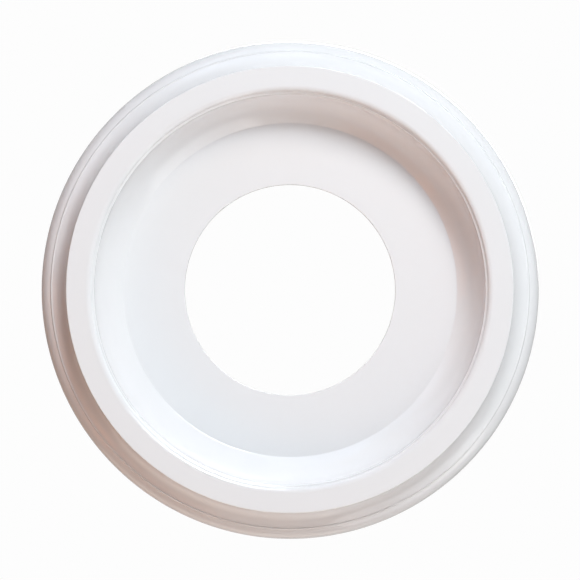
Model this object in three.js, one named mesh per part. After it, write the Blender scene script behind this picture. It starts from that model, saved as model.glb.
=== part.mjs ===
import * as THREE from 'three';

// A ceiling rose: the round moulding that covers the ceiling around a hanging light. It is one
// shell of white gloss plastic, turned about the Z axis. It hangs face down: the ceiling is the
// plane z = 0, the face looks to -Z, and the back is an open ring-shaped channel.
//
// Sections are drawn as (radius, drop), where drop is the distance below the ceiling.
// All lengths are millimetres.

// Across the rose, from the middle outwards
const HOLE_RADIUS = 52.4;
const RECESS_FLOOR_RADIUS = 83.1;
const INNER_COVE_RADIUS = 96.5;
const LEDGE_RADIUS = 97.6;
const RING_INNER_RADIUS = 99.3;
const RING_OUTER_RADIUS = 109.5;
const FILLET_RADIUS = 118.1;
const STEP_RADIUS = 118.8;
const OUTER_RADIUS = 123.8;

// Down from the ceiling
const WALL = 3;
const RING_DROP = 26;
const RIM_EDGE_DROP = 1.2;
const STEP_HEIGHT = 0.5;

// Slopes of the curved parts, as angles from the ceiling plane
const INNER_COVE_FOOT_SLOPE = THREE.MathUtils.degToRad(27);
const INNER_COVE_TOP_SLOPE = THREE.MathUtils.degToRad(88);
const OUTER_COVE_FOOT_SLOPE = THREE.MathUtils.degToRad(24);
const OUTER_COVE_TOP_SLOPE = THREE.MathUtils.degToRad(82);
const RIM_TOP_SLOPE = THREE.MathUtils.degToRad(25);

// Small edges
const HOLE_EDGE_ROUND = 0.5;
const RING_OUTER_ROUND = 0.9;

const SIDES_AROUND = 96;
const GLOSS_WHITE = 0xeef0f4;

const QUARTER = Math.PI / 2;

// Points of an arc about a centre. An angle of zero points outwards and a quarter turn points
// down from the ceiling.
function arc(centre, radius, fromAngle, toAngle, steps) {
  const clockwise = toAngle < fromAngle;
  return new THREE.EllipseCurve(
    centre.x, centre.y, radius, radius, fromAngle, toAngle, clockwise,
  ).getPoints(steps);
}

const point = (radius, drop) => new THREE.Vector2(radius, drop);

// The inner cove rises from the recess floor to the lip, hollow towards the middle
const innerCoveCurve = (INNER_COVE_RADIUS - RECESS_FLOOR_RADIUS)
  / (Math.sin(INNER_COVE_TOP_SLOPE) - Math.sin(INNER_COVE_FOOT_SLOPE));
const innerCoveCentre = point(
  RECESS_FLOOR_RADIUS - innerCoveCurve * Math.sin(INNER_COVE_FOOT_SLOPE),
  WALL + innerCoveCurve * Math.cos(INNER_COVE_FOOT_SLOPE),
);
const innerCoveTopDrop = innerCoveCentre.y - innerCoveCurve * Math.cos(INNER_COVE_TOP_SLOPE);

// The rim is an arc that falls from the fine step and stands upright at its outer edge
const rimCurve = (OUTER_RADIUS - STEP_RADIUS) / (1 - Math.sin(RIM_TOP_SLOPE));
const rimCentre = point(OUTER_RADIUS - rimCurve, RIM_EDGE_DROP);
const rimTopDrop = rimCentre.y + rimCurve * Math.cos(RIM_TOP_SLOPE);
const filletDrop = rimTopDrop + STEP_HEIGHT;

// The outer cove falls from the ring to the flat fillet, hollow away from the middle
const outerCoveCurve = (FILLET_RADIUS - RING_OUTER_RADIUS)
  / (Math.sin(OUTER_COVE_TOP_SLOPE) - Math.sin(OUTER_COVE_FOOT_SLOPE));
const outerCoveCentre = point(
  FILLET_RADIUS + outerCoveCurve * Math.sin(OUTER_COVE_FOOT_SLOPE),
  filletDrop + outerCoveCurve * Math.cos(OUTER_COVE_FOOT_SLOPE),
);

// The face, from the hole's edge outwards to the rim's edge on the ceiling
function faceLine() {
  const lipRound = RING_INNER_RADIUS - LEDGE_RADIUS;
  return [
    point(HOLE_RADIUS, 0),
    ...arc(point(HOLE_RADIUS + HOLE_EDGE_ROUND, WALL - HOLE_EDGE_ROUND), HOLE_EDGE_ROUND,
      2 * QUARTER, QUARTER, 2),
    ...arc(innerCoveCentre, innerCoveCurve,
      INNER_COVE_FOOT_SLOPE - QUARTER, INNER_COVE_TOP_SLOPE - QUARTER, 8),
    point(LEDGE_RADIUS, innerCoveTopDrop),
    ...arc(point(RING_INNER_RADIUS, RING_DROP - lipRound), lipRound, 2 * QUARTER, QUARTER, 3),
    ...arc(point(RING_OUTER_RADIUS - RING_OUTER_ROUND, RING_DROP - RING_OUTER_ROUND),
      RING_OUTER_ROUND, QUARTER, 0, 3),
    ...arc(outerCoveCentre, outerCoveCurve,
      -QUARTER - OUTER_COVE_TOP_SLOPE, -QUARTER - OUTER_COVE_FOOT_SLOPE, 6),
    point(STEP_RADIUS, filletDrop),
    ...arc(rimCentre, rimCurve, QUARTER - RIM_TOP_SLOPE, 0, 5),
    point(OUTER_RADIUS, 0),
  ];
}

// The back, from the rim inwards: the channel follows the face at the wall's thickness
function backLine() {
  const rimInside = OUTER_RADIUS - WALL;
  const coveBack = outerCoveCurve + WALL;
  const coveBackEnd = -Math.acos((rimInside - outerCoveCentre.x) / coveBack);
  const channelTop = RING_DROP - WALL;
  const innerBack = innerCoveCurve + WALL;
  const innerBackTop = Math.asin((channelTop - innerCoveCentre.y) / innerBack);
  const innerBackFoot = Math.asin(-innerCoveCentre.y / innerBack);
  return [
    point(rimInside, 0),
    ...arc(outerCoveCentre, coveBack, coveBackEnd, -QUARTER - OUTER_COVE_TOP_SLOPE, 5),
    point(RING_OUTER_RADIUS - WALL, channelTop),
    ...arc(innerCoveCentre, innerBack, innerBackTop, innerBackFoot, 6),
  ];
}

function ceilingRose() {
  const outline = [...faceLine(), ...backLine()];
  outline.push(outline[0].clone());
  const turned = outline.map((p) => point(p.x, -p.y));
  const geometry = new THREE.LatheGeometry(turned, SIDES_AROUND);
  geometry.rotateX(QUARTER);
  const material = new THREE.MeshStandardMaterial({
    color: GLOSS_WHITE, roughness: 0.22, metalness: 0,
  });
  const mesh = new THREE.Mesh(geometry, material);
  mesh.name = 'ceiling_rose';
  return mesh;
}

const rose = new THREE.Group();
rose.add(ceilingRose());

export default rose;
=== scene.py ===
import math

import bpy
from mathutils import Matrix, Vector


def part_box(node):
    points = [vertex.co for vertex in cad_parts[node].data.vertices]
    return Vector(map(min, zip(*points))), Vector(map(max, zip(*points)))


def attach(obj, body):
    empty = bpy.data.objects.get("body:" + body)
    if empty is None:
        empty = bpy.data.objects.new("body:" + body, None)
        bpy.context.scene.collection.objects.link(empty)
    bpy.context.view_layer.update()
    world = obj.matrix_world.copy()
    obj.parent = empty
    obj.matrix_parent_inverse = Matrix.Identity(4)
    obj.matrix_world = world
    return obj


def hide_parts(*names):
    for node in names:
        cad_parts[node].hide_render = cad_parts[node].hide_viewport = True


# A ceiling rose moulded in gloss white ABS, seen from straight below. It hangs face down from the
# plane z = 0. Its section is drawn as points (radius from the axis, drop below the ceiling) and
# turned about the Z axis. All lengths are metres, apart from the camera's sensor.

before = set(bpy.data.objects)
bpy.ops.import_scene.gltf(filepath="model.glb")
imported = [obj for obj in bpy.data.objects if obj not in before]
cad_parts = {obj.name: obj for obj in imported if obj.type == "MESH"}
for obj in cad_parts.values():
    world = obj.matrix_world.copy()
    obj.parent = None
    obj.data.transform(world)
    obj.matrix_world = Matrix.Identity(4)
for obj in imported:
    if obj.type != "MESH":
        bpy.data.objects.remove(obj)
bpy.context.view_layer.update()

MM = 0.001
QUARTER = math.pi / 2

# Across the rose, from the middle outwards
HOLE_RADIUS = 52.4 * MM
RECESS_FLOOR_RADIUS = 83.1 * MM
INNER_COVE_RADIUS = 95.9 * MM
LEDGE_RADIUS = 97.0 * MM
RING_INNER_RADIUS = 99.8 * MM
RING_OUTER_RADIUS = 109.5 * MM
FILLET_RADIUS = 117.7 * MM
FILLET_EDGE_RADIUS = 118.3 * MM
STEP_RADIUS = 118.8 * MM
OUTER_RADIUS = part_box("ceiling_rose")[1].x

# Down from the ceiling. The recess floor lies on the ceiling, so it is one wall down
WALL = 3 * MM
RING_DROP = -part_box("ceiling_rose")[0].z
RIM_EDGE_DROP = 1.2 * MM
STEP_HEIGHT = 0.95 * MM
LIP_HEIGHT = 1.85 * MM

# Slopes of the curved parts, as angles from the ceiling plane
INNER_COVE_FOOT_SLOPE = math.radians(29)
INNER_COVE_TOP_SLOPE = math.radians(86.5)
LEDGE_SLOPE = math.radians(16)
OUTER_COVE_FOOT_SLOPE = math.radians(24)
OUTER_COVE_TOP_SLOPE = math.radians(82)
RIM_TOP_SLOPE = math.radians(25)

# Small edges, from the middle outwards
HOLE_EDGE_ROUND = 0.3 * MM
RECESS_FOOT_ROUND = 1.0 * MM
COVE_EDGE_ROUND = 0.6 * MM
RING_OUTER_ROUND = 0.5 * MM

# A moulding has no dead sharp corner, so each one that turns more than this is rounded. The
# rounding takes at most a share of either side, and has a point for about every CORNER_TURN.
SHARPEST_LEFT_ALONE = math.radians(11)
CORNER_ROUND = 0.12 * MM
CORNER_SIDE_SHARE = 0.4
CORNER_TURN = math.radians(22)

# How fine the mesh is. An arc has a point for each ARC_STEP or each ARC_TURN, whichever is finer.
SIDES_AROUND = 360
ARC_STEP = 0.75 * MM
ARC_TURN = math.radians(9)
FLOOR_STEP = 6 * MM
RING_STEP = 3 * MM

# The camera is below the rose and nearly on its axis. PHOTO_SIDE is the side of the picture in
# pixels, and ROSE_IN_PHOTO is the width of the rose in it.
PHOTO_SIDE = 580
ROSE_IN_PHOTO = 497
CAMERA_DROP = 1.3
CAMERA_OFF_AXIS = Vector((0.010, 0.022, 0))
SENSOR_MM = 36.0

# The floor is at a usual room height below the ceiling, and sweeps up into a round wall
FLOOR_DROP = 2.4
STUDIO_RADIUS = 9.0
STUDIO_SWEEP = 2.0
STUDIO_WALL_TOP = 1.6
STUDIO_SIDES = 96
SWEEP_STEPS = 16
STUDIO_GREY = "#d6d9dc"
STUDIO_ROUGHNESS = 0.9
STUDIO_GLOW = 0.78

# What both finishes share: the index typical of ABS, the reach of the drift in tint, the share
# by which the polish varies, and the range that most of a noise pattern keeps to
ABS_IOR = 1.53
TINT_DRIFT = 60 * MM
POLISH_SPREAD = 0.12
NOISE_LOW = 0.3
NOISE_HIGH = 0.7

# The lamps stand far enough off to light the whole rose evenly
LIGHT_DISTANCE = 2.2
WHITE = "#ffffff"
DAYLIGHT = "#f2faff"
SKY = "#d0e4ff"
WARM_WHITE = "#fff4e8"
AMBER = "#ff9000"

# The white that the camera sees round the rose, and the bright dome that the rose feels overhead.
# The dome grows from nothing to its full brightness between two heights, given as sines.
SEEN_WHITE = "#fdfdfd"
DOME_WHITE = "#fffdfb"
DOME_BRIGHTNESS = 0.4
DOME_FOOT = 0.15
DOME_FULL = 0.65


def arc(centre, radius, start, end):
    """Points of an arc. Angle zero points outwards, a quarter turn points down."""
    sweep = abs(end - start)
    steps = max(math.ceil(sweep / ARC_TURN), round(sweep * radius / ARC_STEP))
    turns = [start + (end - start) * i / steps for i in range(steps + 1)]
    return [(centre[0] + radius * math.cos(t), centre[1] + radius * math.sin(t)) for t in turns]


def straight(start, end, step):
    """Points strictly between two others, about a step apart."""
    steps = max(1, round(math.dist(start, end) / step))
    return [
        (start[0] + (end[0] - start[0]) * i / steps, start[1] + (end[1] - start[1]) * i / steps)
        for i in range(1, steps)
    ]


def section_arcs():
    """Centre and radius of the inner cove, the rim and the outer cove, and the fillet's drop."""
    inner = (INNER_COVE_RADIUS - RECESS_FLOOR_RADIUS) / (
        math.sin(INNER_COVE_TOP_SLOPE) - math.sin(INNER_COVE_FOOT_SLOPE)
    )
    inner_centre = (
        RECESS_FLOOR_RADIUS - inner * math.sin(INNER_COVE_FOOT_SLOPE),
        WALL + inner * math.cos(INNER_COVE_FOOT_SLOPE),
    )
    rim = (OUTER_RADIUS - STEP_RADIUS) / (1 - math.sin(RIM_TOP_SLOPE))
    rim_centre = (OUTER_RADIUS - rim, RIM_EDGE_DROP)
    fillet_drop = rim_centre[1] + rim * math.cos(RIM_TOP_SLOPE) + STEP_HEIGHT
    outer = (FILLET_RADIUS - RING_OUTER_RADIUS) / (
        math.sin(OUTER_COVE_TOP_SLOPE) - math.sin(OUTER_COVE_FOOT_SLOPE)
    )
    outer_centre = (
        FILLET_RADIUS + outer * math.sin(OUTER_COVE_FOOT_SLOPE),
        fillet_drop + outer * math.cos(OUTER_COVE_FOOT_SLOPE),
    )
    return (inner_centre, inner), (rim_centre, rim), (outer_centre, outer), fillet_drop


def recess_foot(cove_centre, cove_radius):
    """A tight curve from the recess floor into the inner cove, and the slope where they meet."""
    reach = cove_radius - RECESS_FOOT_ROUND
    slope = math.acos((cove_centre[1] - WALL - RECESS_FOOT_ROUND) / reach)
    centre = (cove_centre[0] + reach * math.sin(slope), WALL + RECESS_FOOT_ROUND)
    return arc(centre, RECESS_FOOT_ROUND, -QUARTER, slope - QUARTER), slope


def cove_edge(cove_top):
    """The soft edge where the inner cove turns to its narrow, slightly sloped ledge."""
    centre = (
        cove_top[0] + COVE_EDGE_ROUND * math.sin(INNER_COVE_TOP_SLOPE),
        cove_top[1] - COVE_EDGE_ROUND * math.cos(INNER_COVE_TOP_SLOPE),
    )
    return arc(centre, COVE_EDGE_ROUND, QUARTER + INNER_COVE_TOP_SLOPE, QUARTER + LEDGE_SLOPE)


def lip():
    """A flattened quarter-round that climbs from the ledge to the ring."""
    width = RING_INNER_RADIUS - LEDGE_RADIUS
    flattening = LIP_HEIGHT / width
    return [
        (RING_INNER_RADIUS + x, RING_DROP - LIP_HEIGHT + flattening * y)
        for x, y in arc((0, 0), width, 2 * QUARTER, QUARTER)
    ]


def face_line():
    """The side that shows, from the hole's edge outwards to the rim's edge on the ceiling."""
    (inner_centre, inner), (rim_centre, rim), (outer_centre, outer), fillet_drop = section_arcs()
    hole_edge_centre = (HOLE_RADIUS + HOLE_EDGE_ROUND, WALL - HOLE_EDGE_ROUND)
    hole_edge = arc(hole_edge_centre, HOLE_EDGE_ROUND, 2 * QUARTER, QUARTER)
    foot, foot_slope = recess_foot(inner_centre, inner)
    inner_cove = arc(inner_centre, inner, foot_slope - QUARTER, INNER_COVE_TOP_SLOPE - QUARTER)
    lip_line = lip()
    ring_edge_centre = (RING_OUTER_RADIUS - RING_OUTER_ROUND, RING_DROP - RING_OUTER_ROUND)
    ring_edge = arc(ring_edge_centre, RING_OUTER_ROUND, QUARTER, 0)
    outer_cove = arc(
        outer_centre, outer, -QUARTER - OUTER_COVE_TOP_SLOPE, -QUARTER - OUTER_COVE_FOOT_SLOPE
    )
    return [
        (HOLE_RADIUS, 0),
        *hole_edge,
        *straight(hole_edge[-1], foot[0], FLOOR_STEP),
        *foot,
        *inner_cove[1:],
        *cove_edge(inner_cove[-1])[1:],
        *lip_line,
        *straight(lip_line[-1], ring_edge[0], RING_STEP),
        *ring_edge,
        *outer_cove,
        # The fine step is a narrow slope from here to the top of the rim
        (FILLET_EDGE_RADIUS, fillet_drop),
        *arc(rim_centre, rim, QUARTER - RIM_TOP_SLOPE, 0),
        (OUTER_RADIUS, 0),
    ]


def back_line():
    """The side on the ceiling, from the rim inwards: an open channel behind the mouldings."""
    (inner_centre, inner), _, (outer_centre, outer), _ = section_arcs()
    rim_inside = OUTER_RADIUS - WALL
    cove_back = outer + WALL
    cove_back_end = -math.acos((rim_inside - outer_centre[0]) / cove_back)
    channel_top = RING_DROP - WALL
    inner_back = inner + WALL
    inner_back_top = math.asin((channel_top - inner_centre[1]) / inner_back)
    inner_back_foot = math.asin(-inner_centre[1] / inner_back)
    inner_cove = arc(inner_centre, inner_back, inner_back_top, inner_back_foot)
    return [
        (rim_inside, 0),
        *arc(outer_centre, cove_back, cove_back_end, -QUARTER - OUTER_COVE_TOP_SLOPE),
        (RING_OUTER_RADIUS - WALL, channel_top),
        *inner_cove,
        *straight(inner_cove[-1], (HOLE_RADIUS, 0), FLOOR_STEP),
    ]


def soften(outline):
    """Rounds the corners of a closed outline. Each new point comes with its old point's place."""
    soft = []
    for i, corner in enumerate(outline):
        here = Vector(corner)
        arriving = here - Vector(outline[i - 1])
        leaving = Vector(outline[(i + 1) % len(outline)]) - here
        turn = arriving.angle(leaving)
        if turn < SHARPEST_LEFT_ALONE:
            soft.append((here, i))
            continue
        longest_cut = CORNER_SIDE_SHARE * min(arriving.length, leaving.length)
        cut = min(CORNER_ROUND * math.tan(turn / 2), longest_cut)
        start = here - arriving.normalized() * cut
        end = here + leaving.normalized() * cut
        steps = max(2, round(turn / CORNER_TURN))
        for k in range(steps + 1):
            t = k / steps
            soft.append((start * (1 - t) ** 2 + here * 2 * t * (1 - t) + end * t * t, i))
    return soft


def turned(points, sides, closed):
    """Places and faces of a line of (radius, height) points turned once round the axis."""
    count = len(points)
    spans = [(k, (k + 1) % count) for k in range(count if closed else count - 1)]
    places = []
    faces = []
    for side in range(sides):
        angle = 2 * math.pi * side / sides
        places += [(r * math.cos(angle), r * math.sin(angle), height) for r, height in points]
        here = side * count
        there = (side + 1) % sides * count
        faces += [(here + k, there + k, there + n, here + n) for k, n in spans]
    return places, faces


def smooth_mesh(name, places, faces):
    """A mesh that is shaded smoothly all over."""
    mesh = bpy.data.meshes.new(name)
    mesh.from_pydata(places, [], faces)
    mesh.polygons.foreach_set("use_smooth", [True] * len(faces))
    mesh.update()
    return mesh


def moulding_mesh(name):
    """The section turned once round. Faces of the back take the second material."""
    face = face_line()
    points = soften(face + back_line())
    places, faces = turned([(p.x, -p.y) for p, _ in points], SIDES_AROUND, closed=True)
    slots = [int(place >= len(face)) for _, place in points]
    mesh = smooth_mesh(name, places, faces)
    mesh.polygons.foreach_set("material_index", slots * SIDES_AROUND)
    return mesh


def linear(hexcode):
    """An sRGB hex colour as the linear values that the shaders take."""
    parts = [int(hexcode[i : i + 2], 16) / 255 for i in (1, 3, 5)]
    return (*(c / 12.92 if c <= 0.04045 else ((c + 0.055) / 1.055) ** 2.4 for c in parts), 1.0)


def node(tree, kind, inputs=None, **settings):
    """Adds a node. An input is another node's output, or else a plain value for its socket."""
    added = tree.nodes.new("ShaderNode" + kind)
    for key, value in settings.items():
        setattr(added, key, value)
    for key, value in (inputs or {}).items():
        if isinstance(value, bpy.types.NodeSocket):
            tree.links.new(value, added.inputs[key])
        else:
            added.inputs[key].default_value = value
    return added


def moulded_abs(name, tints, roughness, ripple, ripple_height, grain, grain_height):
    """Moulded ABS: an opaque tint under a skin that follows the mould's own surface."""
    material = bpy.data.materials.new(name)
    material.use_nodes = True
    tree = material.node_tree
    tree.nodes.clear()
    place = node(tree, "TexCoord").outputs["Object"]
    # Pigment mixes a little unevenly as the plastic flows out through the mould. A mix of colours
    # takes them at its sockets 6 and 7, and gives its output 2.
    drift = node(tree, "TexNoise", {"Vector": place, "Scale": 1 / TINT_DRIFT, "Detail": 2.0})
    colour = node(tree, "Mix", {
        0: drift.outputs["Fac"],
        6: linear(tints[0]),
        7: linear(tints[1]),
    }, data_type="RGBA")
    # The skin ripples where the plastic shrank, and is a little better polished here than there
    wave = node(tree, "TexNoise", {"Vector": place, "Scale": 1 / ripple, "Detail": 1.0})
    pits = node(tree, "TexNoise", {"Vector": place, "Scale": 1 / grain, "Detail": 2.0})
    polish = node(tree, "MapRange", {
        "Value": wave.outputs["Fac"],
        "From Min": NOISE_LOW,
        "From Max": NOISE_HIGH,
        "To Min": roughness * (1 - POLISH_SPREAD),
        "To Max": roughness * (1 + POLISH_SPREAD),
    })
    wide = node(tree, "Bump", {"Height": wave.outputs["Fac"], "Distance": ripple_height})
    fine = node(tree, "Bump", {
        "Height": pits.outputs["Fac"],
        "Distance": grain_height,
        "Normal": wide.outputs["Normal"],
    })
    skin = node(tree, "BsdfPrincipled", {
        "Base Color": colour.outputs[2],
        "Roughness": polish.outputs["Result"],
        "IOR": ABS_IOR,
        "Normal": fine.outputs["Normal"],
    })
    node(tree, "OutputMaterial", {"Surface": skin.outputs["BSDF"]})
    return material


def gloss_white_abs():
    """The face comes off a polished mould half, so it mirrors the lamps softly."""
    # What grain a polished mould leaves is too fine to show, so it is drawn coarser and faint
    return moulded_abs(
        "gloss_white_abs",
        tints=("#f1f2f4", "#eff0f2"),
        roughness=0.13,
        ripple=14 * MM,
        ripple_height=0.012 * MM,
        grain=1.2 * MM,
        grain_height=0.0004 * MM,
    )


def satin_white_abs():
    """The back comes off the plain mould half: the same plastic, with a satin skin."""
    # The real grain, of about a tenth of a millimetre, is too fine to show and is drawn coarser
    return moulded_abs(
        "satin_white_abs",
        tints=("#eff0f2", "#eaebed"),
        roughness=0.45,
        ripple=22 * MM,
        ripple_height=0.02 * MM,
        grain=0.8 * MM,
        grain_height=0.006 * MM,
    )


def ceiling_rose():
    """The one moulding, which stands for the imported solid."""
    mesh = moulding_mesh("ceiling_rose_moulding")
    mesh.materials.append(gloss_white_abs())
    mesh.materials.append(satin_white_abs())
    piece = bpy.data.objects.new("ceiling_rose_moulding", mesh)
    bpy.context.scene.collection.objects.link(piece)
    # The large faces lead the shading, so flats stay flat beside the small rounds
    piece.modifiers.new("weighted_normals", "WEIGHTED_NORMAL")
    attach(piece, "root")
    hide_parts("ceiling_rose")


def camera():
    """Looks up at the rose, at the scale that the rim's edge has in the photograph."""
    lens = bpy.data.cameras.new("camera")
    view = bpy.data.objects.new("camera", lens)
    bpy.context.scene.collection.objects.link(view)
    bpy.context.scene.camera = view
    distance = CAMERA_DROP - RIM_EDGE_DROP
    lens.sensor_width = SENSOR_MM
    lens.lens = SENSOR_MM / PHOTO_SIDE * ROSE_IN_PHOTO * distance / (2 * OUTER_RADIUS)
    place = Vector((0, 0, -CAMERA_DROP)) + CAMERA_OFF_AXIS
    back = place.normalized()
    right = Vector((0, -1, 0)).cross(back).normalized()
    up = back.cross(right)
    turn = Matrix((right, up, back)).transposed().to_4x4()
    view.matrix_world = Matrix.Translation(place) @ turn


def toward(azimuth, height):
    """A direction from the rose: azimuth as the face is seen, height in degrees off the ceiling."""
    a = math.radians(azimuth)
    h = math.radians(height)
    return Vector((math.cos(a) * math.cos(h), -math.sin(a) * math.cos(h), -math.sin(h)))


def softbox(name, azimuth, height, across, tall, brightness, tint):
    """A lamp behind a diffuser, which fills across by tall degrees as seen from the rose."""
    width = 2 * LIGHT_DISTANCE * math.tan(math.radians(across) / 2)
    length = 2 * LIGHT_DISTANCE * math.tan(math.radians(tall) / 2)
    lamp = bpy.data.lights.new(name, "AREA")
    lamp.shape = "RECTANGLE"
    lamp.size = width
    lamp.size_y = length
    # This power keeps the brightness the same whatever the size
    lamp.energy = brightness * math.pi * width * length
    lamp.color = linear(tint)[:3]
    box = bpy.data.objects.new(name, lamp)
    bpy.context.scene.collection.objects.link(box)
    direction = toward(azimuth, height)
    turn = direction.to_track_quat("Z", "Y").to_matrix().to_4x4()
    box.matrix_world = Matrix.Translation(direction * LIGHT_DISTANCE) @ turn
    box.visible_camera = False


def lights():
    """A large key softbox to the upper right of the face, dimmer ones all round, fill behind."""
    # The key is brightest across its middle, and warmer low down
    softbox("key", 64, 47, 34, 20, 3.5, WHITE)
    softbox("key_middle", 68, 47, 20, 8, 18, DAYLIGHT)
    softbox("key_high", 62, 54, 24, 8, 12, DAYLIGHT)
    softbox("key_low", 74, 40, 24, 8, 9, WARM_WHITE)
    # Round the face: cool at the top and by the camera, amber on the left, near white elsewhere
    softbox("under_key", 67, 22, 50, 30, 0.35, WARM_WHITE)
    softbox("bottom_right", 303, 29, 40, 48, 2, WHITE)
    softbox("bottom", 268, 30, 36, 40, 0.9, WARM_WHITE)
    softbox("bottom_left", 232, 26, 36, 30, 0.7, AMBER)
    softbox("left", 198, 24, 40, 24, 1, AMBER)
    softbox("upper_left", 155, 24, 30, 30, 0.8, WHITE)
    softbox("top_left", 132, 28, 46, 16, 0.7, SKY)
    softbox("top", 100, 25, 30, 30, 1.1, SKY)
    softbox("beside_camera", 10, 66, 60, 12, 0.5, SKY)
    # Fill for the back, which lies on the ceiling once the rose is up
    softbox("overhead", 60, -68, 30, 24, 8, WHITE)
    softbox("behind_key", 60, -24, 70, 36, 0.4, WHITE)
    softbox("behind_right", 305, -15, 50, 30, 0.6, WHITE)
    softbox("behind_bottom", 250, -15, 60, 30, 0.9, WARM_WHITE)


def studio_line():
    """From the wall's top down the sweep to the floor's edge, as (radius, height)."""
    turns = [QUARTER * i / SWEEP_STEPS for i in range(SWEEP_STEPS, -1, -1)]
    sweep = [
        (
            STUDIO_RADIUS - STUDIO_SWEEP * (1 - math.sin(turn)),
            STUDIO_SWEEP * (1 - math.cos(turn)) - FLOOR_DROP,
        )
        for turn in turns
    ]
    return [(STUDIO_RADIUS, STUDIO_WALL_TOP), *sweep]


def pale_matt_paint():
    """Pale paint with no shine. Its own glow keeps it even where the lamps would spot it."""
    paint = bpy.data.materials.new("pale_matt_paint")
    paint.use_nodes = True
    skin = paint.node_tree.nodes["Principled BSDF"]
    skin.inputs["Base Color"].default_value = linear(STUDIO_GREY)
    skin.inputs["Roughness"].default_value = STUDIO_ROUGHNESS
    skin.inputs["Emission Color"].default_value = linear(STUDIO_GREY)
    skin.inputs["Emission Strength"].default_value = STUDIO_GLOW
    return paint


def backdrop():
    """A plain pale floor and wall round the rose."""
    line = studio_line()
    rows = len(line)
    places, faces = turned(line, STUDIO_SIDES, closed=False)
    floor = tuple((side + 1) * rows - 1 for side in range(STUDIO_SIDES))
    mesh = smooth_mesh("studio", places, [*faces, floor])
    mesh.materials.append(pale_matt_paint())
    studio = bpy.data.objects.new("studio", mesh)
    bpy.context.scene.collection.objects.link(studio)
    # The camera sees it, but it neither lights the rose nor shades it
    studio.visible_diffuse = False
    studio.visible_glossy = False
    studio.visible_shadow = False


def surroundings():
    """White to the camera. To the rose it is a dome, bright overhead and dark lower down."""
    world = bpy.data.worlds.new("surroundings")
    world.use_nodes = True
    tree = world.node_tree
    tree.nodes.clear()
    direction = node(tree, "TexCoord").outputs["Generated"]
    height = node(tree, "SeparateXYZ", {"Vector": direction}).outputs["Z"]
    rise = node(tree, "MapRange", {
        "Value": height,
        "From Min": DOME_FOOT,
        "From Max": DOME_FULL,
        "To Max": DOME_BRIGHTNESS,
    })
    dome = node(tree, "Background", {
        "Color": linear(DOME_WHITE),
        "Strength": rise.outputs["Result"],
    })
    seen = node(tree, "Background", {"Color": linear(SEEN_WHITE)})
    mix = node(tree, "MixShader", {
        0: node(tree, "LightPath").outputs["Is Camera Ray"],
        1: dome.outputs["Background"],
        2: seen.outputs["Background"],
    })
    node(tree, "OutputWorld", {"Surface": mix.outputs["Shader"]})
    bpy.context.scene.world = world


ceiling_rose()
camera()
lights()
backdrop()
surroundings()
bpy.context.scene.view_settings.view_transform = "Standard"
